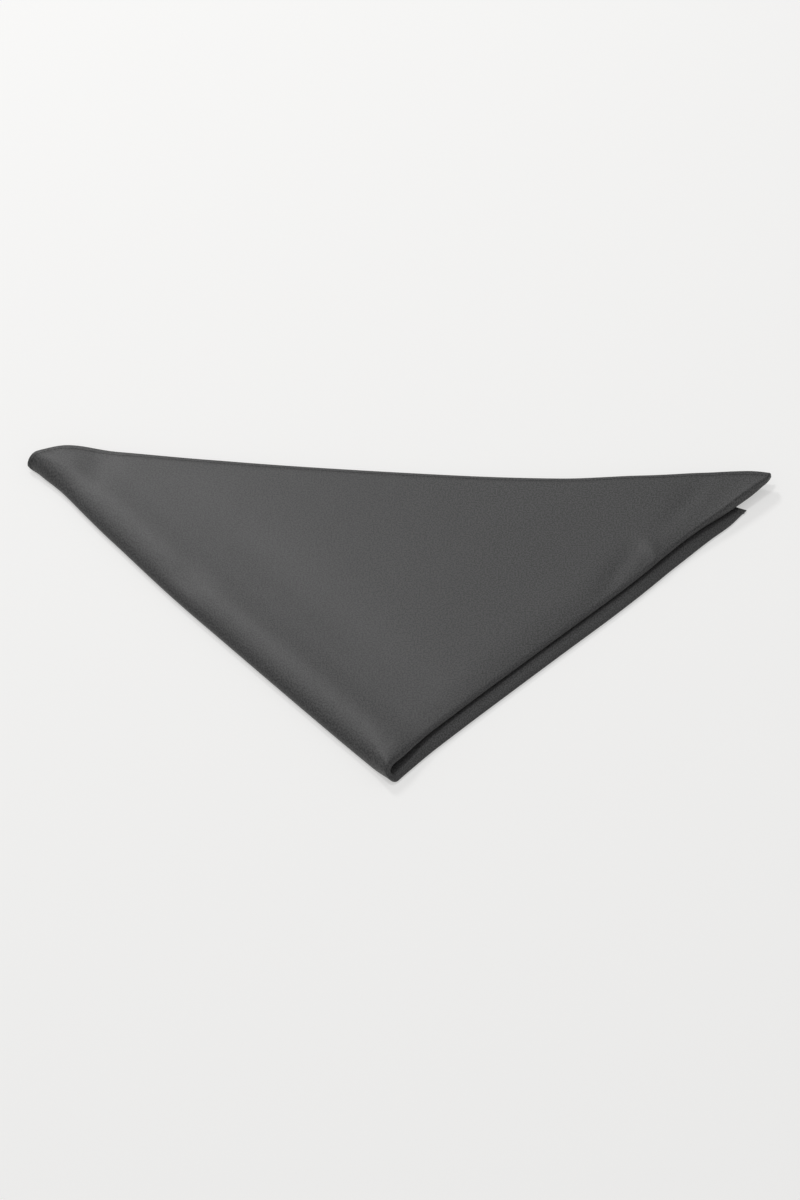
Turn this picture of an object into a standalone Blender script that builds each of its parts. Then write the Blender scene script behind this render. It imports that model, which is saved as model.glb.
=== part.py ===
"""Neckerchief: a plain square of cloth folded corner to corner twice and laid flat.

Metres, +Z up. The folded cloth is a right-angled triangle. Its long side holds the
four hemmed edges and runs along X at the back, the left end of it on -X. The right
angle, which is the middle of the square, points to the front (-Y). The left leg is a
soft roll, the right leg shows the rim of the upper flap set back from the edge of the
lower one.

A place on the square is given by p and q, measured along its two diagonals from the
middle. p > 0 is the upper flap and p < 0 the lower one; q > 0 is the outer sheet of
each flap and q < 0 the inner one.
"""
import math
import bpy
from mathutils import Vector

# Cloth
SIDE = 0.600                  # side of the square
REACH = SIDE / math.sqrt(2)   # middle of the square to a corner
WALL = 0.0010                 # one thickness of cloth
HEM_WIDTH = 0.0046            # turned border all round
HEM_WALL = 0.0013             # thickness of the turned border
HEM_STEP = 0.0010             # width of the step from the border to the single cloth

# Folded shape
HEIGHT = 0.0125               # top of the roll above the rest plane
FLAP_TOP = 0.77               # top of the upper flap away from its edges, share of HEIGHT
SHEET_GAP = 0.31              # outer to inner sheet inside a flap, share of the stack
SHEET_AIR = 0.0003            # least air between two sheets
LOWER_RIM = 0.0019            # outer to inner sheet at the edge of the lower flap
ROLL_SPAN = 0.030             # how far in from the left leg the top of its roll is round
ROLL_ARC = 0.033              # cloth in the top of the roll
FOOT_SPAN = 0.0015            # how far in from the left leg the foot of its roll is round
FOOT_ARC = 0.0040             # cloth in the foot of the roll
ROLL_END = 0.30               # width of the roll's top at its two ends, share of ROLL_SPAN
ROLL_INNER = 0.88             # width of the roll's top in the inner sheet, the same share
FOOT_END = 3.50               # width of its foot at the front point, share of FOOT_SPAN
NOSE = 0.20                   # outermost line of the roll, share of its height
ROLL_GAP = 0.0026             # outer to inner sheet round the roll
RIM_NOSE = 0.42               # outermost line of the upper rim, share of its wall
SET_BACK = 0.0120             # rim of the upper flap behind the edge of the lower one
LOWER_LENGTH = 0.917          # lower flap along the right leg, share of the upper one
HEM_BOW = 0.020               # how far the long side strays from a straight line
LEFT_BOW = 0.010              # how far the left leg swells beyond a straight line

# How far in from its edge each of these eases out
ROLL_EASE = 0.040             # height of the roll, beyond its round part
NOSE_EASE = 0.020             # height of the roll's outermost line, at the front point
END_EASE = 0.050              # width of the roll, from its ends
RIM_EASE = 0.026              # height of the upper rim
HEM_EASE = 0.060              # height of the long side
HEM_DROP = 0.010              # its last, steeper part
WALL_EASE = 0.040             # spacing of the sheets next to the right leg
GAP_EASE = 0.060              # spacing of the sheets next to the left leg
INNER_EASE = 0.030            # inner sheet behind the outer one at the left leg
SWELL_EASE = 0.120            # swell of the left leg
LEAN_EASE = 0.025             # lean of the upper rim's side wall
BOW_EASE = 0.150              # bow of the long side

# Right leg, from the front point (0) to the right tip (1).
# set_back, lower: shares of SET_BACK, for the rim of the upper flap and the edge of the
# lower one. top, wall, lean: shares of HEIGHT, for the top of the upper rim, the height
# of its side wall and how far the foot of the wall stands out. square: 2 for a round
# rim, more for a flat side wall. shoulder: share of RIM_EASE. depth: how far in the rim
# is round, in half walls.
RIGHT_LEG_COLUMNS = (
    "along", "set_back", "lower", "top", "wall", "lean", "square", "shoulder", "depth",
)
RIGHT_LEG = (
    (0.00, 0.68, -0.11, 0.88, 0.28, 0.00, 2.0, 0.35, 1.60),
    (0.04, 0.72, -0.02, 0.76, 0.27, 0.00, 2.0, 0.40, 3.00),
    (0.12, 1.04, 0.09, 0.64, 0.25, 0.00, 2.0, 0.50, 4.60),
    (0.35, 1.09, 0.08, 0.62, 0.25, 0.00, 2.0, 0.55, 5.00),
    (0.60, 0.93, -0.01, 0.64, 0.26, 0.00, 2.0, 0.50, 3.40),
    (0.74, 0.92, -0.13, 0.66, 0.30, 0.00, 2.0, 0.45, 1.40),
    (0.80, 0.66, -0.26, 0.72, 0.36, 0.08, 3.0, 0.50, 1.00),
    (0.86, 0.41, -0.40, 0.84, 0.42, 0.20, 6.0, 0.60, 1.00),
    (0.92, 0.29, -0.55, 0.96, 0.48, 0.26, 6.0, 0.60, 1.00),
    (0.96, 0.30, -0.39, 0.96, 0.42, 0.16, 4.0, 0.50, 1.00),
    (1.00, 0.90, -0.18, 0.92, 0.38, 0.04, 2.0, 0.40, 1.00),
)

# Left leg, from the front point (0) to the left tip (1).
# swell: share of LEFT_BOW. top: top of the roll, share of HEIGHT.
LEFT_LEG_COLUMNS = ("along", "swell", "top")
LEFT_LEG = (
    (0.00, 0.05, 1.00),
    (0.12, 0.17, 1.00),
    (0.30, 0.24, 0.98),
    (0.50, 0.28, 0.97),
    (0.70, 0.40, 0.95),
    (0.85, 0.92, 0.96),
    (0.93, 0.77, 0.96),
    (1.00, -0.03, 0.94),
)

# Long side, from the left tip (0) to the right tip (1).
# out: share of HEM_BOW, negative where the side is hollow. top: share of HEIGHT.
LONG_SIDE_COLUMNS = ("along", "out", "top")
LONG_SIDE = (
    (0.00, 0.10, 0.86),
    (0.03, 0.74, 0.80),
    (0.07, 1.12, 0.72),
    (0.14, 0.70, 0.66),
    (0.25, 0.26, 0.60),
    (0.50, -0.12, 0.58),
    (0.72, -0.19, 0.58),
    (0.82, 0.16, 0.62),
    (0.90, 0.51, 0.70),
    (0.96, 0.65, 0.80),
    (1.00, 0.32, 0.86),
)

# Dents and ridges of the upper flap, seen in plan.
# right, left: middle, from the front point, shares of REACH along the right leg and the
# left leg. turn: degrees from the right leg. length, width: shares of REACH. rise: share
# of HEIGHT, negative for a dent.
DENT_COLUMNS = ("right", "left", "turn", "length", "width", "rise")
DENTS = (
    (0.16, 0.42, 90.0, 0.34, 0.050, -0.060),
    (0.03, 0.57, 80.0, 0.05, 0.030, -0.070),
    (0.08, 0.90, 35.0, 0.06, 0.035, -0.080),
    (0.62, 0.11, 20.0, 0.10, 0.030, -0.050),
    (0.70, 0.07, 60.0, 0.04, 0.022, 0.045),
    (0.84, 0.09, 12.0, 0.08, 0.016, -0.045),
)

# Grid of each quarter of the square: the sides of the folds, the rows of the hem, and
# how the cells in between grow from the middle of the square outwards.
# FOLD_SHARES are shares of ROLL_ARC.
CELLS = 38
FOLD_SHARES = (0.0, 0.024, 0.052, 0.085, 0.130, 0.190, 0.280, 0.420, 0.660, 1.060)
FOLD_PLACES = tuple(share * ROLL_ARC for share in FOLD_SHARES)
HEM_ROWS = (0.0, HEM_WIDTH, HEM_WIDTH + HEM_STEP)
FIRST_STEP = 0.60             # first cell beyond the folds, share of the mean one
NORMAL_STEP = 0.0001          # spacing used to find which way the cloth faces


def column(table, columns, name):
    """Positions and values of one named column."""
    place = columns.index(name)
    return [row[0] for row in table], [row[place] for row in table]


def smooth(table, columns, name, at):
    """Value of a column at a share along its table, joined smoothly through the rows."""
    xs, ys = column(table, columns, name)
    at = min(max(at, xs[0]), xs[-1])
    low = 0
    while low < len(xs) - 2 and at > xs[low + 1]:
        low += 1

    def slope(row):
        before, after = max(row - 1, 0), min(row + 1, len(xs) - 1)
        return (ys[after] - ys[before]) / (xs[after] - xs[before])

    span = xs[low + 1] - xs[low]
    t = (at - xs[low]) / span
    return ((1 + 2 * t) * (1 - t) ** 2 * ys[low] + t * (1 - t) ** 2 * span * slope(low)
            + t * t * (3 - 2 * t) * ys[low + 1] + t * t * (t - 1) * span * slope(low + 1))


def right_leg(name, along):
    return smooth(RIGHT_LEG, RIGHT_LEG_COLUMNS, name, along)


def left_leg(name, along):
    return smooth(LEFT_LEG, LEFT_LEG_COLUMNS, name, along)


def long_side(name, along):
    return smooth(LONG_SIDE, LONG_SIDE_COLUMNS, name, along)


def soft(distance, reach):
    """1 at an edge, easing to 0 at reach from it."""
    t = min(max(1 - distance / reach, 0.0), 1.0)
    return t * t * (3 - 2 * t)


def sharp(distance, reach):
    """1 at an edge, falling fast and then easing to 0 at reach from it."""
    t = min(max(1 - distance / reach, 0.0), 1.0)
    return t * t


def hem_distance(p, q):
    """How far a place on the square is from its nearest hemmed edge."""
    return max(0.0, (REACH - abs(p) - abs(q)) / math.sqrt(2))


def thickness(p, q):
    """Thickness of the cloth, with the turned border thicker."""
    border = soft(max(0.0, hem_distance(p, q) - HEM_WIDTH), HEM_STEP)
    return WALL + (HEM_WALL - WALL) * border


def dents(a, b):
    """Rise of the upper flap at a place in plan."""
    rise = 0.0
    for row in DENTS:
        dent = dict(zip(DENT_COLUMNS, row))
        turn = math.radians(dent["turn"])
        da, db = a - dent["right"] * REACH, b - dent["left"] * REACH
        u = (da * math.cos(turn) + db * math.sin(turn)) / (dent["length"] * REACH)
        v = (db * math.cos(turn) - da * math.sin(turn)) / (dent["width"] * REACH)
        rise += dent["rise"] * HEIGHT * math.exp(-u * u - v * v)
    return rise


def roll_size(p, q):
    """Shares of their usual width that the top and the foot of the roll have."""
    ends = min(soft(hem_distance(p, q), END_EASE) + soft(abs(q), END_EASE), 1.0)
    full = ROLL_INNER if q < 0 else 1.0
    return full + (ROLL_END - full) * ends, 1 + (FOOT_END - 1) * soft(abs(q), NOSE_EASE)


def round_roll(p, sizes):
    """Turn of the cloth round the left leg: 1 on top, -1 below, and the distance in."""
    arc = ROLL_ARC * sizes[0] if p > 0 else FOOT_ARC * sizes[1]
    span = ROLL_SPAN * sizes[0] if p > 0 else FOOT_SPAN * sizes[1]
    share = min(abs(p) / arc, 1.0)
    angle = math.copysign(1.5 * share - 0.5 * share * share, p) * math.pi / 2
    return math.sin(angle), span * (1 - math.cos(angle)) + max(abs(p) - arc, 0.0)


def round_rim(q, wall, square, depth):
    """Turn of the cloth round a rim: 1 outer sheet, -1 inner, and the distance in."""
    stretch = depth if q > 0 else 1.0
    arc = 1.15 * wall * (0.4 + 0.6 * stretch)
    angle = min(max(q / arc, -1.0), 1.0) * math.pi / 2
    c, s = math.cos(angle), math.sin(angle)
    size = (abs(c) ** square + abs(s) ** square) ** (-1 / square)
    flat = max(abs(q) - arc, 0.0)
    return size * s, 0.5 * wall * stretch * (1 - size * c) + flat


def top_height(a_in, b_in, from_hem, share):
    """Top of the folded cloth above the rest plane."""
    top = FLAP_TOP * HEIGHT
    roll = left_leg("top", b_in / REACH) * HEIGHT
    top += (roll - top) * soft(max(0.0, a_in - 0.6 * ROLL_SPAN), ROLL_EASE)
    along = a_in / REACH
    rim = right_leg("top", along) * HEIGHT
    top += (rim - top) * sharp(b_in, RIM_EASE * right_leg("shoulder", along))
    hem = long_side("top", share) * HEIGHT
    top += (hem - top) * (sharp(from_hem, HEM_EASE) + sharp(from_hem, HEM_DROP)) / 2
    return top


def folded(p, q):
    """Place in space of a point halfway through the cloth."""
    turn, a_in = round_roll(p, roll_size(p, q))
    upper = (1 + turn) / 2
    along = a_in / REACH
    wall = right_leg("wall", along) * HEIGHT
    rim_wall = LOWER_RIM + (wall - LOWER_RIM) * upper
    square = 2 + (right_leg("square", along) - 2) * upper
    depth = 1 + (right_leg("depth", along) - 1) * upper
    face, b_in = round_rim(q, rim_wall, square, depth)
    from_hem = hem_distance(p, q)
    share = min(max(0.5 + (a_in - b_in) / (2 * REACH), 0.0), 1.0)
    nose = 0.5 + (RIM_NOSE - 0.5) * upper
    outer = nose + (1 - nose) * face if face > 0 else nose * (1 + face)

    # In plan, along the right leg (a) and along the left leg (b).
    first_wall = right_leg("wall", 0.0) * HEIGHT
    roll_gap = ROLL_GAP + (first_wall - ROLL_GAP) * soft(b_in, WALL_EASE)
    a = a_in * (LOWER_LENGTH + (1 - LOWER_LENGTH) * upper)
    a += (1 - outer) * roll_gap * soft(a_in, INNER_EASE)
    a -= left_leg("swell", b_in / REACH) * LEFT_BOW * soft(a_in, SWELL_EASE)
    lean = right_leg("lean", along) * HEIGHT * upper * soft(b_in, LEAN_EASE)
    back = right_leg("set_back", along) * upper + right_leg("lower", along) * (1 - upper)
    b = b_in + back * SET_BACK - lean * (1 - outer)
    out = long_side("out", share) * HEM_BOW * soft(from_hem, BOW_EASE) / math.sqrt(2)
    a += out
    b += out

    # The four sheets from the rest plane up: outer and inner of the lower flap, inner
    # and outer of the upper one.
    half = thickness(p, q) / 2
    top = top_height(a_in, b_in, from_hem, share) + dents(a, b) * upper
    least = 2 * half + SHEET_AIR
    gap = SHEET_GAP * (top - 2 * half)
    gap += (ROLL_GAP - gap) * soft(a_in, GAP_EASE)
    near_leg = soft(b_in, WALL_EASE)
    upper_gap = max(gap + (wall - gap) * near_leg, least)
    lower_gap = max(gap + (LOWER_RIM - gap) * near_leg, least)
    lower_z = half + lower_gap * (1 - outer)
    upper_z = top - half - upper_gap * (1 - outer)
    share_up = NOSE * (0.9 + 0.1 * outer)
    share_up += (0.5 - share_up) * soft(b_in, NOSE_EASE)
    nose_z = lower_z + (upper_z - lower_z) * share_up
    z = nose_z + turn * (upper_z - nose_z if turn > 0 else nose_z - lower_z)

    root = math.sqrt(0.5)
    return Vector(((a - b) * root, (a + b) * root, z))


def facing(p, q):
    """Unit vector out of the side of the cloth that is seen when it is folded."""
    step = NORMAL_STEP
    along_p = folded(p + step, q) - folded(p - step, q)
    along_q = folded(p, q + step) - folded(p, q - step)
    return along_p.cross(along_q).normalized()


def quarter_rows():
    """Grid of one quarter: rows parallel to the hem, with their places along p."""
    fine = len(FOLD_PLACES) - 1
    lengths = [0.0] * (CELLS + 1)
    for cells in range(1, 2 * fine + 1):
        lengths[cells] = FOLD_PLACES[cells // 2] + FOLD_PLACES[(cells + 1) // 2]
    hem = len(HEM_ROWS)
    for row, inset in enumerate(HEM_ROWS):
        lengths[CELLS - row] = REACH - math.sqrt(2) * inset
    first, last = 2 * fine, CELLS - hem + 1
    steps = [FIRST_STEP + (1 - FIRST_STEP) * min(1.0, k / 3) for k in range(last - first)]
    span = lengths[last] - lengths[first]
    for k, step in enumerate(steps[:-1]):
        lengths[first + k + 1] = lengths[first + k] + span * step / sum(steps)
    rows = []
    for cells in range(CELLS + 1):
        if cells <= 2 * fine:
            half = cells // 2
            places = list(FOLD_PLACES[:half + 1])
            places += [lengths[cells] - FOLD_PLACES[k] for k in range(cells - half - 1, -1, -1)]
        else:
            open_cells = cells - 2 * fine
            start, stop = FOLD_PLACES[-1], lengths[cells] - FOLD_PLACES[-1]
            places = list(FOLD_PLACES)
            places += [start + (stop - start) * k / open_cells for k in range(1, open_cells)]
            places += [lengths[cells] - FOLD_PLACES[k] for k in range(fine, -1, -1)]
        rows.append([(place, lengths[cells] - place) for place in places])
    return rows


def square_grid():
    """Places on the whole square and the triangles between them."""
    places, triangles, known = [], [], {}

    def number(p, q):
        key = (round(p * 1e7), round(q * 1e7))
        if key not in known:
            known[key] = len(places)
            places.append((p, q))
        return known[key]

    rows = quarter_rows()
    for p_side, q_side in ((1, 1), (1, -1), (-1, -1), (-1, 1)):
        keys = [[number(p_side * p, q_side * q) for p, q in row] for row in rows]
        flip = p_side * q_side < 0
        for inner, outer in zip(keys, keys[1:]):
            for k in range(len(inner)):
                cell = [(inner[k], outer[k + 1], outer[k])]
                if k + 1 < len(inner):
                    cell.append((inner[k], inner[k + 1], outer[k + 1]))
                for corners in cell:
                    triangles.append(corners[::-1] if flip else corners)
    return places, triangles


def edge_loop(triangles):
    """Edges that belong to one triangle only, each in the direction it is used."""
    used = set()
    for a, b, c in triangles:
        used.update(((a, b), (b, c), (c, a)))
    return sorted(edge for edge in used if (edge[1], edge[0]) not in used)


def cloth_mesh():
    """Closed mesh of the folded cloth, centred over its box and resting on Z = 0."""
    places, triangles = square_grid()
    shown, hidden = [], []
    for p, q in places:
        middle, out = folded(p, q), facing(p, q) * thickness(p, q) / 2
        shown.append(middle + out)
        hidden.append(middle - out)
    points = shown + hidden
    count = len(places)
    faces = [tuple(face) for face in triangles]
    faces += [(a + count, c + count, b + count) for a, b, c in triangles]
    for a, b in edge_loop(triangles):
        faces += [(b, a, a + count), (b, a + count, b + count)]
    low = [min(point[axis] for point in points) for axis in range(3)]
    high = [max(point[axis] for point in points) for axis in range(3)]
    shift = Vector(((low[0] + high[0]) / 2, (low[1] + high[1]) / 2, low[2]))
    mesh = bpy.data.meshes.new("kerchief_cloth")
    mesh.from_pydata([point - shift for point in points], [], faces)
    mesh.validate()
    return mesh


def cloth_material():
    """Dark grey woven cloth with a soft sheen."""
    material = bpy.data.materials.new("dark_grey_cloth")
    material.use_nodes = True
    shader = material.node_tree.nodes["Principled BSDF"]
    shader.inputs["Base Color"].default_value = (0.085, 0.085, 0.088, 1.0)
    shader.inputs["Roughness"].default_value = 0.75
    shader.inputs["Sheen Weight"].default_value = 0.3
    return material


def main():
    for item in list(bpy.data.objects):
        bpy.data.objects.remove(item, do_unlink=True)
    cloth = bpy.data.objects.new("kerchief_cloth", cloth_mesh())
    cloth.data.materials.append(cloth_material())
    bpy.context.scene.collection.objects.link(cloth)


main()
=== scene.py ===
import math
from functools import partial
import bpy
import numpy as np
from mathutils import Matrix, Vector


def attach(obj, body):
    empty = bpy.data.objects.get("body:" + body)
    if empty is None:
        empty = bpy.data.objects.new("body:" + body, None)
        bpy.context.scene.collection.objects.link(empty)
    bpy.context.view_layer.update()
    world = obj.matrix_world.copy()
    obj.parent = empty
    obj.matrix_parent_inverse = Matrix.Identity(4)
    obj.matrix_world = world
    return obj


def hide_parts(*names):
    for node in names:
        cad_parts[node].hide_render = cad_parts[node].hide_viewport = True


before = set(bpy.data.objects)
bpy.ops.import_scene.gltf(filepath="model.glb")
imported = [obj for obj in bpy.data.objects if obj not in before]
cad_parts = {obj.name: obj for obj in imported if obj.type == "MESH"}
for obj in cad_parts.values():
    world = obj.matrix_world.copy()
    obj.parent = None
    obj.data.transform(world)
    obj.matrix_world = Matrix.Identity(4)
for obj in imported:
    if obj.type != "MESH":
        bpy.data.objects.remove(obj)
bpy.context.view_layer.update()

print("neckerchief: start")

# a place on the square: p and q along its two diagonals, from its middle, in metres
# p > 0 upper flap, p < 0 lower flap, q > 0 outer sheet, q < 0 inner sheet
kerchief = {
    "side": 0.600,
    "wall": 0.00055,
    "height": 0.0125,         # top of the left roll
    "flapTop": 0.81,          # upper flap away from its edges, share of height
    "sheetGap": 0.31,         # outer to inner sheet inside a flap, share of the stack
    "sheetAir": 0.0003,       # least air between those two
    "rimNose": 0.34,          # outermost line of the upper rim, share of its wall
    "lowerNose": 0.75,        # the same for the lower flap, measured from its top
    "stripSquare": 1.3,       # 2 for a round edge of the lower flap, 1 for a straight slope
    "setBack": 0.012,         # upper rim behind the lower flap's edge, where the table says 1
    "lowerLength": 0.917,     # lower flap's right leg, share of the upper one's
    "hemBow": 0.020,          # long side and left leg out of straight, where the tables say 1
    "leftBow": 0.010,
    "tipCut": 0.0065,         # how far the upper flap's right tip is rounded off
    "tipSpan": 0.017,         # over this length of its fold
    "lift": 0.0004,           # room for the stitches on its underside
    "cells": 150,             # rows of the mesh in each quarter
}
reach = kerchief["side"] / math.sqrt(2)
quarters = ((1, 1), (1, -1), (-1, -1), (-1, 1))  # signs of p and q in the four sheets

roll = {                      # the soft roll along the left leg
    "span": 0.028,            # how far in its top is round
    "arc": 0.0313,            # cloth in its top
    "footSpan": 0.0015,
    "footArc": 0.0040,
    "gap": 0.0026,            # outer to inner sheet
    "nose": 0.20,             # outermost line, share of its height
    "innerNose": 0.9,         # the same in the inner sheet, share of nose
    "crest": 0.6,             # where its top starts to ease to the flap, share of span
    "end": 0.30,              # width of its top at both ends, share of span
    "inner": 0.88,            # width of its top in the inner sheet
    "footEnd": 3.50,          # width of its foot at the front point, share of footSpan
}

ease = {                      # how far in from its edge each of these fades
    "roll": 0.030,
    "nose": 0.020,
    "end": 0.050,
    "rim": 0.026,
    "hem": 0.060,
    "hemDrop": 0.010,
    "wall": 0.040,
    "gap": 0.060,
    "inner": 0.030,
    "swell": 0.120,
    "lean": 0.025,
    "bow": 0.150,
}

hem = {
    "width": 0.0046,
    "lift": 0.00018,          # extra half thickness of the turned border
    "edgeRadius": 0.0007,
    "seamIn": 0.0038,         # seam to the edge of the cloth
    "groove": 0.00010,
    "grooveWidth": 0.0004,    # half of it
    "edgeShare": 0.3,         # thickness at the very edge, share of the border's
}

# where each edge lies and how it is shaped, at places along it from the front point or, on
# the long side, from the left corner; heights are shares of the kerchief's height
rightLeg = {
    "along": (0, 0.04, 0.12, 0.35, 0.6, 0.74, 0.8, 0.86, 0.92, 0.96, 1),
    "setBack": (0.66, 0.70, 0.96, 0.97, 0.86, 0.82, 0.68, 0.44, 0.29, 0.24, 0.2),
    "lower": (-0.11, -0.02, 0.09, 0.08, -0.01, -0.13, -0.26, -0.4, -0.55, -0.39, -0.18),
    "strip": (0.2, 0.24, 0.28, 0.28, 0.28, 0.27, 0.25, 0.24, 0.2, 0.15, 0.15),
    "stripDepth": (2.4, 2.8, 3.2, 3.3, 3.3, 3.2, 3, 2.8, 2.4, 2, 2),
    "top": (0.94, 0.88, 0.74, 0.65, 0.67, 0.72, 0.80, 0.88, 0.96, 0.95, 0.88),
    "wall": (0.32, 0.26, 0.20, 0.20, 0.20, 0.25, 0.32, 0.4, 0.44, 0.34, 0.24),
    "lean": (0, 0, 0, 0, 0, 0, 0.08, 0.2, 0.26, 0.16, 0.04),
    "square": (2, 2, 2, 2, 2, 2, 3, 6, 6, 4, 2),
    "shoulder": (0.3, 0.4, 0.75, 1, 0.86, 0.64, 0.5, 0.6, 0.6, 0.5, 0.4),
    "depth": (1.6, 2.4, 3.2, 3.2, 2.8, 1.8, 1, 1, 1, 1, 1),
}
leftLeg = {
    "along": (0, 0.12, 0.3, 0.5, 0.7, 0.85, 0.93, 1),
    "swell": (0.05, 0.17, 0.24, 0.28, 0.4, 0.92, 0.77, -0.03),
    "top": (1, 1, 0.98, 0.97, 0.95, 0.96, 0.96, 0.94),
}
longSide = {
    "along": (0, 0.03, 0.07, 0.14, 0.25, 0.5, 0.72, 0.82, 0.9, 0.96, 1),
    "out": (0.1, 0.74, 1.12, 0.7, 0.26, -0.12, -0.19, 0.16, 0.51, 0.63, 0.5),
    "top": (0.86, 0.8, 0.72, 0.66, 0.6, 0.58, 0.58, 0.62, 0.7, 0.8, 0.86),
}

# dents and ridges of the upper flap: middle along the right and the left leg, turn from
# the right leg in degrees, length and width, all shares of reach; rise, share of height
dents = {
    "valley by the roll":   (0.16, 0.42, 90.0, 0.34, 0.050, -0.090),
    "pinch in the roll":    (0.03, 0.57, 80.0, 0.05, 0.030, -0.120),
    "dimple at the corner": (0.08, 0.90, 35.0, 0.06, 0.035, -0.110),
    "hollow by the rim":    (0.62, 0.06, 14.0, 0.07, 0.018, -0.080),
    "ridge by the rim":     (0.70, 0.05, 70.0, 0.035, 0.013, 0.075),
    "crease at the tip":    (0.84, 0.09, 12.0, 0.08, 0.016, -0.060),
}


def column(table, name, at):  # smooth curve through one row of numbers
    xs, ys = np.array(table["along"]), np.array(table[name], float)
    rows = np.arange(len(xs))
    before, after = np.maximum(rows - 1, 0), np.minimum(rows + 1, len(xs) - 1)
    slope = (ys[after] - ys[before]) / (xs[after] - xs[before])
    at = np.clip(at, xs[0], xs[-1])
    k = np.clip(np.searchsorted(xs, at) - 1, 0, len(xs) - 2)
    span = xs[k + 1] - xs[k]
    t = (at - xs[k]) / span
    return ((1 + 2 * t) * (1 - t) ** 2 * ys[k] + t * (1 - t) ** 2 * span * slope[k]
            + t * t * (3 - 2 * t) * ys[k + 1] + t * t * (t - 1) * span * slope[k + 1])


def soft(distance, far):  # 1 at an edge, easing to 0
    t = np.clip(1 - distance / far, 0, 1)
    return t * t * (3 - 2 * t)


def sharp(distance, far):  # 1 at an edge, falling fast, then easing to 0
    return np.clip(1 - distance / far, 0, 1) ** 2


def hemDistance(p, q):
    return np.maximum(0, (reach - np.abs(p) - np.abs(q)) / math.sqrt(2))


def rollSize(p, q):  # shares of their full width that its top and foot have
    ends = np.minimum(soft(hemDistance(p, q), ease["end"]) + soft(np.abs(q), ease["end"]), 1)
    full = np.where(q < 0, roll["inner"], 1.0)
    foot = 1 + (roll["footEnd"] - 1) * soft(np.abs(q), ease["nose"])
    return full + (roll["end"] - full) * ends, foot


def roundRoll(p, q):  # turn round the left leg, 1 on top to -1 below, and distance in
    topSize, footSize = rollSize(p, q)
    arc = np.where(p > 0, roll["arc"] * topSize, roll["footArc"] * footSize)
    span = np.where(p > 0, roll["span"] * topSize, roll["footSpan"] * footSize)
    share = np.clip(np.abs(p) / arc, 0, 1)
    angle = np.sign(p) * (1.5 * share - 0.5 * share ** 2) * math.pi / 2  # fastest at the fold
    return np.sin(angle), span * (1 - np.cos(angle)) + np.maximum(np.abs(p) - arc, 0)


def roundRim(q, wall, square, outerDepth, innerDepth):  # turn round a rim, and distance in
    stretch = np.where(q > 0, outerDepth, innerDepth)
    arc = 1.15 * wall * (0.4 + 0.6 * stretch)  # cloth in a quarter of the turn
    angle = np.clip(q / arc, -1, 1) * math.pi / 2
    c, s = np.cos(angle), np.sin(angle)
    size = (np.abs(c) ** square + np.abs(s) ** square) ** (-1 / square)
    return size * s, 0.5 * wall * stretch * (1 - size * c) + np.maximum(np.abs(q) - arc, 0)


def dentRise(a, b):
    rise = np.zeros_like(a)
    for right, left, turn, length, width, height in dents.values():
        c, s = math.cos(math.radians(turn)), math.sin(math.radians(turn))
        da, db = a - right * reach, b - left * reach
        u, v = (da * c + db * s) / (length * reach), (db * c - da * s) / (width * reach)
        rise += height * kerchief["height"] * np.exp(-u * u - v * v)
    return rise


def halfWall(p, q):  # half the cloth's thickness, with its turned border
    inward = hemDistance(p, q)
    edge = np.clip(inward / hem["edgeRadius"], 0, 1)
    border = soft(np.maximum(0, inward - hem["seamIn"]), hem["width"] - hem["seamIn"])
    groove = hem["groove"] * np.exp(-((inward - hem["seamIn"]) / hem["grooveWidth"]) ** 2)
    full = kerchief["wall"] / 2 + hem["lift"] * border - groove
    return full * (hem["edgeShare"] + (1 - hem["edgeShare"]) * np.sqrt(edge * (2 - edge)))


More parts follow.
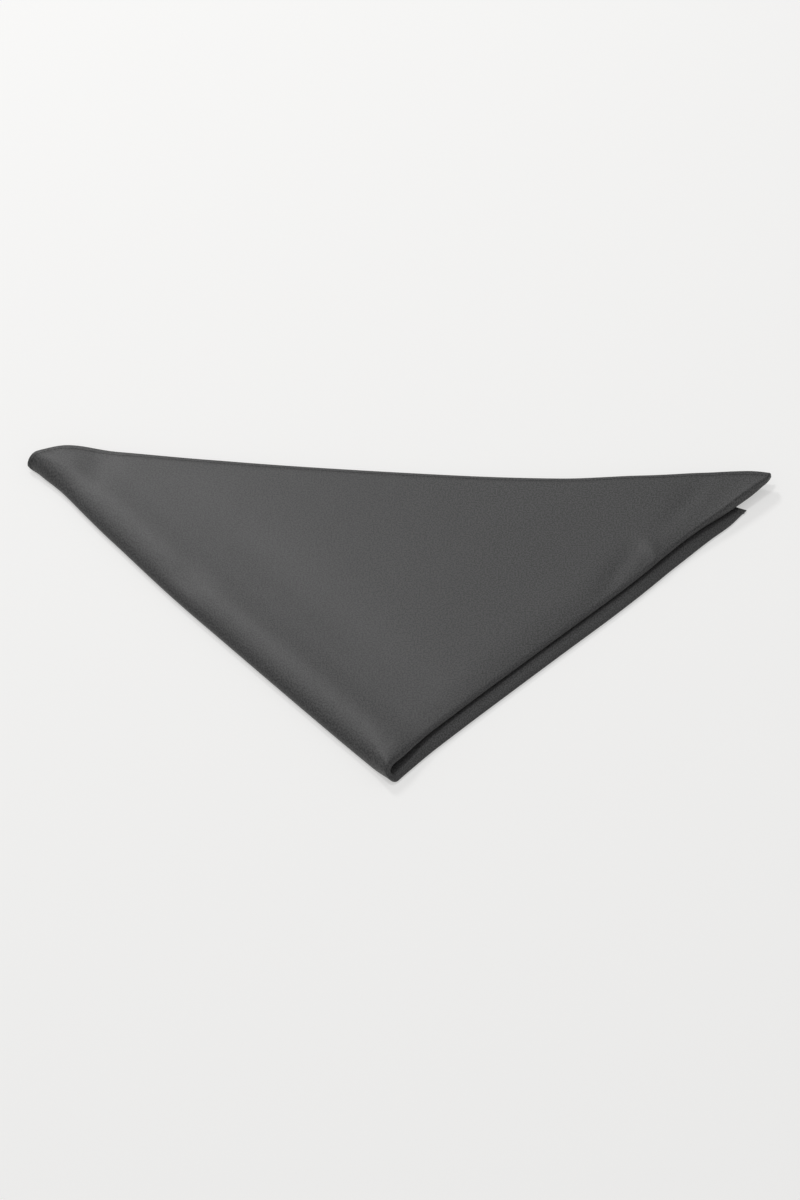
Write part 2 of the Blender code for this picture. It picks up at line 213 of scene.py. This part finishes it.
def folded(p, q):  # middle of the cloth's thickness
    k = kerchief
    turn, aIn = roundRoll(p, q)
    upper = (1 + turn) / 2
    along = aIn / reach
    wall = column(rightLeg, "wall", along) * k["height"]
    strip = column(rightLeg, "strip", along) * k["height"]
    rimWall = strip + (wall - strip) * upper
    lowerSquare = np.where(q < 0, k["stripSquare"], 2.0)
    square = lowerSquare + (column(rightLeg, "square", along) - lowerSquare) * upper
    outerDepth = 1 + (column(rightLeg, "depth", along) - 1) * upper
    innerDepth = 1 + (column(rightLeg, "stripDepth", along) - 1) * (1 - upper)
    face, bIn = roundRim(q, rimWall, square, outerDepth, innerDepth)
    fromHem = hemDistance(p, q)
    share = np.clip(0.5 + (aIn - bIn) / (2 * reach), 0, 1)
    rimNose = k["lowerNose"] + (k["rimNose"] - k["lowerNose"]) * upper
    outer = np.where(face > 0, rimNose + (1 - rimNose) * face, rimNose * (1 + face))
    # in plan, a along the right leg and b along the left one
    firstWall = rightLeg["wall"][0] * k["height"]
    rollGap = roll["gap"] + (firstWall - roll["gap"]) * soft(bIn, ease["wall"])
    a = aIn * (k["lowerLength"] + (1 - k["lowerLength"]) * upper)
    a = a + (1 - outer) * rollGap * soft(aIn, ease["inner"])
    a = a - column(leftLeg, "swell", bIn / reach) * k["leftBow"] * soft(aIn, ease["swell"])
    lean = column(rightLeg, "lean", along) * k["height"] * upper * soft(bIn, ease["lean"])
    back = column(rightLeg, "setBack", along) * upper
    back = back + column(rightLeg, "lower", along) * (1 - upper)
    b = bIn + back * k["setBack"] - lean * (1 - outer)
    out = column(longSide, "out", share) * k["hemBow"] * soft(fromHem, ease["bow"]) / math.sqrt(2)
    cut = k["tipCut"] * upper * sharp(np.maximum(reach - aIn, 0), k["tipSpan"]) / math.sqrt(2)
    a, b = a + out - cut, b + out + cut
    # heights of the four sheets
    half = halfWall(p, q)
    least = 2 * half + k["sheetAir"]
    top = np.full_like(a, k["flapTop"] * k["height"])
    rollTop = column(leftLeg, "top", bIn / reach) * k["height"]
    pastCrest = np.maximum(0, aIn - roll["crest"] * roll["span"])
    top += (rollTop - top) * soft(pastCrest, ease["roll"])
    rim = column(rightLeg, "top", along) * k["height"]
    top += (rim - top) * sharp(bIn, ease["rim"] * column(rightLeg, "shoulder", along))
    edge = column(longSide, "top", share) * k["height"]
    top += (edge - top) * (sharp(fromHem, ease["hem"]) + sharp(fromHem, ease["hemDrop"])) / 2
    top += dentRise(a, b) * upper
    gap = k["sheetGap"] * (top - 2 * half)
    gap += (roll["gap"] - gap) * soft(aIn, ease["gap"])
    nearLeg = soft(bIn, ease["wall"])
    upperGap = np.maximum(gap + (wall - gap) * nearLeg, least)
    lowerGap = np.maximum(gap + (strip - gap) * nearLeg, least)
    low = half + lowerGap * (1 - outer)
    high = top - half - upperGap * (1 - outer)
    noseShare = roll["nose"] * (roll["innerNose"] + (1 - roll["innerNose"]) * outer)
    noseShare += (0.5 - noseShare) * soft(bIn, ease["nose"])
    nose = low + (high - low) * noseShare
    z = nose + turn * np.where(turn > 0, high - nose, nose - low)
    root = math.sqrt(0.5)
    return np.stack([(a - b) * root, (a + b) * root, z], axis=-1)


def facing(p, q):  # out of the side that shows when it is folded
    step = 0.0001
    alongP = folded(p + step, q) - folded(p - step, q)
    alongQ = folded(p, q + step) - folded(p, q - step)
    out = np.cross(alongP, alongQ)
    return out / np.linalg.norm(out, axis=-1, keepdims=True)


def quarterRows():  # rows parallel to the hem, finer at the folds and at the hem
    cells = kerchief["cells"]
    foldSteps = ([0.0003] * 6 + [0.00045] * 5 + [0.0007] * 4 + [0.0011] * 3 + [0.0017] * 3
                 + [0.0025] * 3)
    foldPlaces = np.concatenate([[0.0], np.cumsum(foldSteps)])
    hemSteps = [0.0002, 0.0003, 0.0004, 0.0005, 0.0006, 0.0006, 0.0005, 0.0003,
                0.0002, 0.0002, 0.0002, 0.0003, 0.0005, 0.0008, 0.0012, 0.0018]
    hemPlaces = np.concatenate([[0.0], np.cumsum(hemSteps)])
    fine = len(foldPlaces) - 1
    lengths = np.zeros(cells + 1)
    for k in range(1, 2 * fine + 1):
        lengths[k] = foldPlaces[k // 2] + foldPlaces[(k + 1) // 2]
    for k, inset in enumerate(hemPlaces):
        lengths[cells - k] = reach - math.sqrt(2) * inset
    first, last = 2 * fine, cells - len(hemPlaces) + 1
    lengths[first:last + 1] = np.linspace(lengths[first], lengths[last], last - first + 1)
    rows = []
    for k in range(cells + 1):
        if k <= 2 * fine:
            half = k // 2
            farPlaces = lengths[k] - foldPlaces[:k - half][::-1]
            places = np.concatenate([foldPlaces[:half + 1], farPlaces])
        else:
            middle = np.linspace(foldPlaces[-1], lengths[k] - foldPlaces[-1], k - 2 * fine + 1)
            places = np.concatenate([foldPlaces, middle[1:-1], lengths[k] - foldPlaces[::-1]])
        rows.append(np.stack([places, lengths[k] - places], axis=-1))
    return rows


def squareGrid():  # places on the whole square, and its triangles
    rows = quarterRows()
    places, triangles, known = [], [], {}

    def number(p, q):
        key = (round(p * 1e8), round(q * 1e8))  # one point where quarters meet
        if key not in known:
            known[key] = len(places)
            places.append((p, q))
        return known[key]

    for pSide, qSide in quarters:
        keys = [[number(pSide * float(p), qSide * float(q)) for p, q in row] for row in rows]
        flip = pSide * qSide < 0
        for inner, outer in zip(keys, keys[1:]):
            for k in range(len(inner)):
                cell = [(inner[k], outer[k + 1], outer[k])]
                if k + 1 < len(inner):
                    cell.append((inner[k], inner[k + 1], outer[k + 1]))
                triangles += [corners[::-1] if flip else corners for corners in cell]
    return np.array(places), triangles


def meshObject(name, points, faces):
    mesh = bpy.data.meshes.new(name)
    mesh.from_pydata([tuple(point) for point in points], [], faces)
    thing = bpy.data.objects.new(name, mesh)
    bpy.context.scene.collection.objects.link(thing)
    return thing


def shadeSmooth(thing):
    faces = thing.data.polygons
    faces.foreach_set("use_smooth", np.ones(len(faces), dtype=bool))


def makeCloth():
    places, triangles = squareGrid()
    p, q = places[:, 0], places[:, 1]
    middle, out, half = folded(p, q), facing(p, q), halfWall(p, q)[:, None]
    points = np.concatenate([middle + out * half, middle - out * half])
    low, high = points.min(axis=0), points.max(axis=0)
    centre = (low + high) / 2
    shift = np.array([centre[0], centre[1], low[2] - kerchief["lift"]])
    count = len(places)
    faces = list(triangles) + [(a + count, c + count, b + count) for a, b, c in triangles]
    used = set()
    for a, b, c in triangles:
        used.update(((a, b), (b, c), (c, a)))
    for a, b in sorted(used):
        if (b, a) not in used:
            faces += [(b, a, a + count), (b, a + count, b + count)]
    cloth = meshObject("kerchief", points - shift, faces)
    # warp and weft run along the sides of the square
    sides = np.stack([p + q, p - q], axis=-1) / math.sqrt(2)
    uv = sides / kerchief["side"] + 0.5
    layer = cloth.data.uv_layers.new(name="weaveMap")
    corners = np.empty(len(cloth.data.loops), dtype=np.int32)
    cloth.data.loops.foreach_get("vertex_index", corners)
    layer.data.foreach_set("uv", uv[corners % count].astype(np.float32).ravel())
    shadeSmooth(cloth)
    return cloth, shift


stitch = {
    "pitch": 0.0028,
    "length": 0.0021,
    "thread": 0.00016,        # radius
    "sink": 0.00004,          # how deep the thread lies in the groove
    "steps": 260,             # of each seam line
    "crowding": 0.92,         # how much closer these are at the folds
    "tone": (0.030, 0.030, 0.031, 1),
    "roughness": 0.45,
}


def seamLines():  # lines along the four hems, on both faces of the cloth
    length = reach - math.sqrt(2) * hem["seamIn"]
    steps = stitch["steps"]
    share = np.linspace(0, 1, steps)
    turn = 2 * math.pi
    places = length * (share - stitch["crowding"] * np.sin(turn * share) / turn)
    height = stitch["thread"] - stitch["sink"]
    points, edges, sides = [], [], []
    for pSide, qSide in quarters:
        p, q = pSide * places, qSide * (length - places)
        middle, out, half = folded(p, q), facing(p, q), halfWall(p, q)[:, None]
        for face in (1, -1):
            start = len(points)
            points += list(middle + face * out * (half + height) - shift)
            sides += list(face * out)
            edges += [(start + k, start + k + 1) for k in range(steps - 1)]
    return points, edges, sides


def addNode(tree, kind, settings=None, **values):  # i0, i1 are sockets by number
    made = tree.nodes.new(kind)
    for name, value in (settings or {}).items():
        setattr(made, name, value)
    for name, value in values.items():
        key = int(name[1:]) if name[1:].isdigit() else name.replace("_", " ")
        value = getattr(value, "out", value)
        if isinstance(value, bpy.types.NodeSocket):
            tree.links.new(value, made.inputs[key])
        else:
            made.inputs[key].default_value = value
    return made


def stitchTree():
    tree = bpy.data.node_groups.new("seamStitches", "GeometryNodeTree")
    face = tree.interface
    face.new_socket(name="Geometry", in_out="INPUT", socket_type="NodeSocketGeometry")
    sizes = {}
    for name in ("Pitch", "Length", "Thread"):
        sizes[name] = face.new_socket(name=name, in_out="INPUT", socket_type="NodeSocketFloat")
    thread = face.new_socket(name="Material", in_out="INPUT", socket_type="NodeSocketMaterial")
    face.new_socket(name="Geometry", in_out="OUTPUT", socket_type="NodeSocketGeometry")
    start, end = tree.nodes.new("NodeGroupInput"), tree.nodes.new("NodeGroupOutput")
    node = partial(addNode, tree)
    line = node("GeometryNodeMeshToCurve", Mesh=start.outputs["Geometry"])
    points = node("GeometryNodeResampleCurve", {"mode": "LENGTH"}, Curve=line.outputs[0],
                  Length=start.outputs["Pitch"])
    outward = node("GeometryNodeInputNamedAttribute", {"data_type": "FLOAT_VECTOR"}, Name="outward")
    tangent = node("GeometryNodeInputTangent")
    turn = node("FunctionNodeAxesToRotation", {"primary_axis": "X", "secondary_axis": "Z"},
                Primary_Axis=tangent.outputs[0], Secondary_Axis=outward.outputs["Attribute"])
    halfLength = node("ShaderNodeMath", {"operation": "MULTIPLY"},
                      i0=start.outputs["Length"], i1=0.5)
    size = node("ShaderNodeCombineXYZ", X=halfLength.outputs[0],
                Y=start.outputs["Thread"], Z=start.outputs["Thread"])
    bead = node("GeometryNodeMeshUVSphere", Segments=6, Rings=4, Radius=1.0)
    shaped = node("GeometryNodeTransform", Geometry=bead.outputs["Mesh"], Scale=size.outputs[0])
    placed = node("GeometryNodeInstanceOnPoints", Points=points.outputs[0],
                  Instance=shaped.outputs[0], Rotation=turn.outputs[0])
    real = node("GeometryNodeRealizeInstances", Geometry=placed.outputs[0])
    done = node("GeometryNodeSetMaterial", Geometry=real.outputs[0],
                Material=start.outputs["Material"])
    tree.links.new(done.outputs[0], end.inputs[0])
    return tree, sizes, thread


def makeStitches(material):
    points, edges, sides = seamLines()
    mesh = bpy.data.meshes.new("stitches")
    mesh.from_pydata([tuple(point) for point in points], edges, [])
    outward = mesh.attributes.new("outward", "FLOAT_VECTOR", "POINT")
    outward.data.foreach_set("vector", np.array(sides).ravel())
    stitches = bpy.data.objects.new("stitches", mesh)
    bpy.context.scene.collection.objects.link(stitches)
    tree, sizes, thread = stitchTree()
    modifier = stitches.modifiers.new("seam", "NODES")
    modifier.node_group = tree
    modifier[sizes["Pitch"].identifier] = stitch["pitch"]
    modifier[sizes["Length"].identifier] = stitch["length"]
    modifier[sizes["Thread"].identifier] = stitch["thread"]
    modifier[thread.identifier] = material
    sewn = stitches.evaluated_get(bpy.context.evaluated_depsgraph_get())
    solid = bpy.data.meshes.new_from_object(sewn)
    stitches.modifiers.remove(modifier)
    stitches.data = solid
    shadeSmooth(stitches)
    return stitches


class Sock:  # a shader socket that takes part in sums
    def __init__(self, tree, out):
        self.tree, self.out = tree, out

    def sock(self, kind, settings=None, **values):
        return Sock(self.tree, addNode(self.tree, kind, settings, **values).outputs[0])

    def maths(self, operation, *others):
        terms = {"i%d" % k: value for k, value in enumerate((self,) + others)}
        return self.sock("ShaderNodeMath", {"operation": operation}, **terms)

    def __add__(self, other):
        return self.maths("ADD", other)

    def __sub__(self, other):
        return self.maths("SUBTRACT", other)

    def __rsub__(self, other):
        return self.sock("ShaderNodeMath", {"operation": "SUBTRACT"}, i0=other, i1=self)

    def __mul__(self, other):
        return self.maths("MULTIPLY", other)

    __radd__, __rmul__ = __add__, __mul__


fabric = {
    "threads": 1400,          # across the whole square
    "roundShare": 0.6,        # of a thread's height, the rest is its wave over and under
    "darkTone": (0.020, 0.020, 0.020, 1),
    "lightTone": (0.070, 0.070, 0.070, 1),
    "middleTone": 0.45,       # 0 dark to 1 light
    "paintedBorderShade": 0.40,      # painted shade along the turned border: how much darker the cloth is painted there
    "paintedShadeFade": (0.9, 1.7),    # where this painted shade fades, in border widths
    "grain": (480.0, 8.0),       # scale and strength of the fine mottling
    "slub": (60.0, 900.0, 0.5),  # scales along and across the threads, and strength
    "blotch": (9.0, 0.25),       # the same as grain, for wide faint patches
    # painted shade in the gaps between threads and lighter thread crowns, as a share of tone
    "weaveShadeStrength": 0.12,
    "gloss": 0.6,
    "roughness": 0.46,
    "roughGrain": 0.25,       # how much the grain changes it
    "bumpDepth": 0.00012,
    "bumpStrength": 0.6,
    "bumpGrain": 2.0,
    "sheen": 0.08,
    "sheenRoughness": 0.4,
}


def noise(place, scale, detail, **values):  # about -0.5 to 0.5
    return place.sock("ShaderNodeTexNoise", {"noise_dimensions": "2D"}, Vector=place, Scale=scale,
                      Detail=detail, **values) - 0.5


def threadWave(across, along, number):  # one thread's height, up and down past the others
    thread = (across * math.pi).maths("SINE")
    wave = ((along + number) * math.pi).maths("COSINE")
    return thread * fabric["roundShare"] + wave * (1 - fabric["roundShare"])


def clothMaterial():
    material = bpy.data.materials.new("darkGreyWeave")
    material.use_nodes = True
    tree = material.node_tree
    shader = tree.nodes["Principled BSDF"]
    start = Sock(tree, addNode(tree, "ShaderNodeUVMap", {"uv_map": "weaveMap"}).outputs["UV"])
    parts = addNode(tree, "ShaderNodeSeparateXYZ", i0=start)
    uPart, vPart = Sock(tree, parts.outputs[0]), Sock(tree, parts.outputs[1])
    u, v = uPart * fabric["threads"], vPart * fabric["threads"]
    columnOf, rowOf = u.maths("FLOOR"), v.maths("FLOOR")
    warp = threadWave(u - columnOf, v, columnOf)
    weft = threadWave(v - rowOf, u, rowOf + 1.0)
    weave = warp.maths("MAXIMUM", weft)
    grainSize, grainStrength = fabric["grain"]
    grain = noise(start, grainSize, 2.0, Roughness=0.7)
    slubLong, slubFine, slubStrength = fabric["slub"]
    slubMap = start.sock("ShaderNodeMapping", Vector=start, Scale=(slubLong, slubFine, 1.0))
    slub = noise(slubMap, 1.0, 1.0)
    blotchSize, blotchStrength = fabric["blotch"]
    blotch = noise(start, blotchSize, 3.0)
    fromSides = [side.maths("MINIMUM", 1.0 - side) for side in (uPart, vPart)]
    inward = fromSides[0].maths("MINIMUM", fromSides[1])
    width = hem["width"] / kerchief["side"]
    fadeFrom, fadeTo = (share * width for share in fabric["paintedShadeFade"])
    # painted shade: the cloth's tone is pulled darker within about a border width of each edge
    border = start.sock("ShaderNodeMapRange", {"interpolation_type": "SMOOTHSTEP"}, Value=inward,
                        From_Min=fadeFrom, From_Max=fadeTo,
                        To_Min=fabric["paintedBorderShade"], To_Max=0.0)
    tone = grain * grainStrength + slub * slubStrength + blotch * blotchStrength
    # the weave's height in the tone is painted shade between the threads, and the border term is
    # painted shade along the hems
    tone = tone + weave * fabric["weaveShadeStrength"] + fabric["middleTone"] - border
    colour = addNode(tree, "ShaderNodeMix", {"data_type": "RGBA"},
                     Factor=tone.maths("MAXIMUM", 0.0).maths("MINIMUM", 1.0))
    dark, light = [place for place in colour.inputs if place.type == "RGBA"]
    dark.default_value, light.default_value = fabric["darkTone"], fabric["lightTone"]
    mixed = [place for place in colour.outputs if place.type == "RGBA"][0]
    tree.links.new(mixed, shader.inputs["Base Color"])
    rough = fabric["roughness"] + grain * fabric["roughGrain"]
    tree.links.new(rough.out, shader.inputs["Roughness"])
    bump = start.sock("ShaderNodeBump", Strength=fabric["bumpStrength"],
                      Distance=fabric["bumpDepth"], Height=weave + grain * fabric["bumpGrain"])
    tree.links.new(bump.out, shader.inputs["Normal"])
    shader.inputs["Specular IOR Level"].default_value = fabric["gloss"]
    shader.inputs["Sheen Weight"].default_value = fabric["sheen"]
    shader.inputs["Sheen Roughness"].default_value = fabric["sheenRoughness"]
    return material


def threadMaterial():
    material = bpy.data.materials.new("darkThread")
    material.use_nodes = True
    shader = material.node_tree.nodes["Principled BSDF"]
    shader.inputs["Base Color"].default_value = stitch["tone"]
    shader.inputs["Roughness"].default_value = stitch["roughness"]
    return material


cloth, shift = makeCloth()
cloth.data.materials.append(clothMaterial())
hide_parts("kerchief_cloth")
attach(cloth, "root")
print("neckerchief: cloth", len(cloth.data.polygons), "triangles")

stitches = makeStitches(threadMaterial())
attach(stitches, "root")
stitchTriangles = sum(len(face.vertices) - 2 for face in stitches.data.polygons)
print("neckerchief: stitches", stitchTriangles, "triangles")

studio = {
    "floorReach": 9.0,
    "floorTone": (0.60, 0.598, 0.59, 1),
    "floorRoughness": 0.9,
    "glowTone": (1, 0.996, 0.988, 1),
    "glow": 0.43,             # a lit table top, so that shadows stay faint
    "skyTone": (0.975, 0.975, 0.98, 1),
    "skyStrength": 0.41,
    "lamps": {                # place, size, power
        "lowSoftbox": ((-1.80, 3.87, 2.50), 0.6, 70.0),
        "highSoftbox": ((-1.12, 1.20, 3.08), 0.5, 23.0),
    },
}


def makeStudio():
    far = studio["floorReach"]
    corners = [(-far, -far, 0), (far, -far, 0), (far, far, 0), (-far, far, 0)]
    floor = meshObject("floor", corners, [(0, 1, 2, 3)])
    material = bpy.data.materials.new("paleFloor")
    material.use_nodes = True
    shader = material.node_tree.nodes["Principled BSDF"]
    shader.inputs["Base Color"].default_value = studio["floorTone"]
    shader.inputs["Roughness"].default_value = studio["floorRoughness"]
    shader.inputs["Emission Color"].default_value = studio["glowTone"]
    shader.inputs["Emission Strength"].default_value = studio["glow"]
    floor.data.materials.append(material)
    world = bpy.data.worlds.new("softRoom")
    world.use_nodes = True
    sky = world.node_tree.nodes["Background"]
    sky.inputs["Color"].default_value = studio["skyTone"]
    sky.inputs["Strength"].default_value = studio["skyStrength"]
    bpy.context.scene.world = world
    for name, (place, size, power) in studio["lamps"].items():
        light = bpy.data.lights.new(name, "AREA")
        light.size = size
        light.energy = power
        lamp = bpy.data.objects.new(name, light)
        lamp.location = place
        lamp.rotation_euler = (-Vector(place)).to_track_quat("-Z", "Y").to_euler()
        bpy.context.scene.collection.objects.link(lamp)


view = {
    "aim": (0.00072, 0.17103, 0.0054),  # in the cloth's own frame, before it is centred
    "turn": 1.117,
    "tilt": 49.561,
    "roll": 0.723,
    "distance": 2.0,
    "focal": 3.268625,        # in picture widths
}


def makeCamera():
    turn, tilt, roll = (math.radians(view[name]) for name in ("turn", "tilt", "roll"))
    back = Vector((math.sin(turn) * math.cos(tilt), -math.cos(turn) * math.cos(tilt),
                   math.sin(tilt)))
    level = Vector((math.cos(turn), math.sin(turn), 0))
    upward = back.cross(level)
    right = level * math.cos(roll) + upward * math.sin(roll)
    up = upward * math.cos(roll) - level * math.sin(roll)
    data = bpy.data.cameras.new("camera")
    data.sensor_fit = "HORIZONTAL"
    data.sensor_width = 36.0
    data.lens = 36.0 * view["focal"]
    camera = bpy.data.objects.new("camera", data)
    place = Matrix((right, up, back)).transposed().to_4x4()
    aim = Vector(view["aim"]) - Vector((shift[0], shift[1], 0))
    place.translation = aim + back * view["distance"]
    camera.matrix_world = place
    bpy.context.scene.collection.objects.link(camera)
    bpy.context.scene.camera = camera


makeStudio()
makeCamera()
bpy.context.scene.view_settings.view_transform = "Standard"
print("neckerchief: studio and camera")
